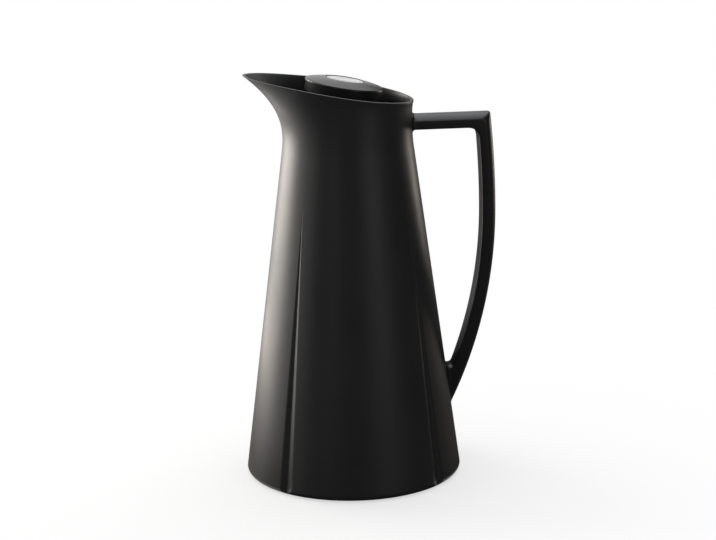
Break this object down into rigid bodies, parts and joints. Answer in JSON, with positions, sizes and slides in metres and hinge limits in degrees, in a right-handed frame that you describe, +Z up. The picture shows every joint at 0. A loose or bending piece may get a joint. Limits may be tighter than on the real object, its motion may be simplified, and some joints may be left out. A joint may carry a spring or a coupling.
{
  "type": "thermal jug",
  "caption": "Tapered glass-lined thermal jug with a tilted rim, drawn-out spout, angular loop handle and a screw-in stopper with a push-button pouring valve.",
  "frame": {"origin": "middle of the foot ring, on the surface the jug stands on, on the axis of the body", "axes": "+Z up along the axis of the body, +X towards the handle, -X towards the spout"},
  "size_m": [0.1734, 0.147, 0.2762],
  "materials": {
    "shell_plastic": "satin black moulding",
    "handle_plastic": "satin black moulding",
    "lid_plastic": "satin black moulding",
    "inner_plastic": "matt black moulding",
    "flask_glass": "silvered glass",
    "black_rubber": "matt rubber",
    "clear_silicone": "milky silicone",
    "button_steel": "satin steel",
    "plain_steel": "bright steel"
  },
  "bodies": {
    "jug": {"outer_shell": "shell_plastic", "handle": "handle_plastic", "handle_screws": "plain_steel", "pouring_collar": "inner_plastic", "collar_oring": "black_rubber", "neck_gasket": "clear_silicone", "glass_outer_wall": "flask_glass", "glass_inner_wall": "flask_glass", "glass_spacers": "black_rubber", "base_cushion": "black_rubber", "base_plate": "inner_plastic", "base_screws": "plain_steel", "foot_ring": "black_rubber"},
    "seal": {"stopper_seal": "clear_silicone"},
    "stopper": {"lid_cap": "lid_plastic", "stopper_plug": "inner_plastic", "stem_seal": "clear_silicone", "return_spring": "plain_steel"},
    "valve": {"push_button": "button_steel", "button_carrier": "inner_plastic", "valve_stem": "plain_steel", "stem_clip": "plain_steel", "valve_plate": "inner_plastic", "valve_seal": "clear_silicone", "valve_screw": "plain_steel"}
  },
  "joints": [
    {"name": "stopper_rise", "type": "slide", "parent": "jug", "child": "seal", "axis": [0.1685, 0, 0.9857], "range_m": [0, 0.036]},
    {"name": "stopper_turn", "type": "hinge", "parent": "seal", "child": "stopper", "pos_m": [-0.0016, 0, 0.26903], "axis": [0.1685, 0, 0.9857], "range_deg": [0, 540]},
    {"name": "button_press", "type": "slide", "parent": "stopper", "child": "valve", "axis": [0.1685, 0, 0.9857], "range_m": [-0.005, 0], "stiffness_N_per_m": 400, "springref_m": 0.004, "deforming": ["return_spring"]}
  ],
  "couplings": [
    {"joint": "stopper_turn", "follows": "stopper_rise", "rad_per_m": 261.8}
  ]
}
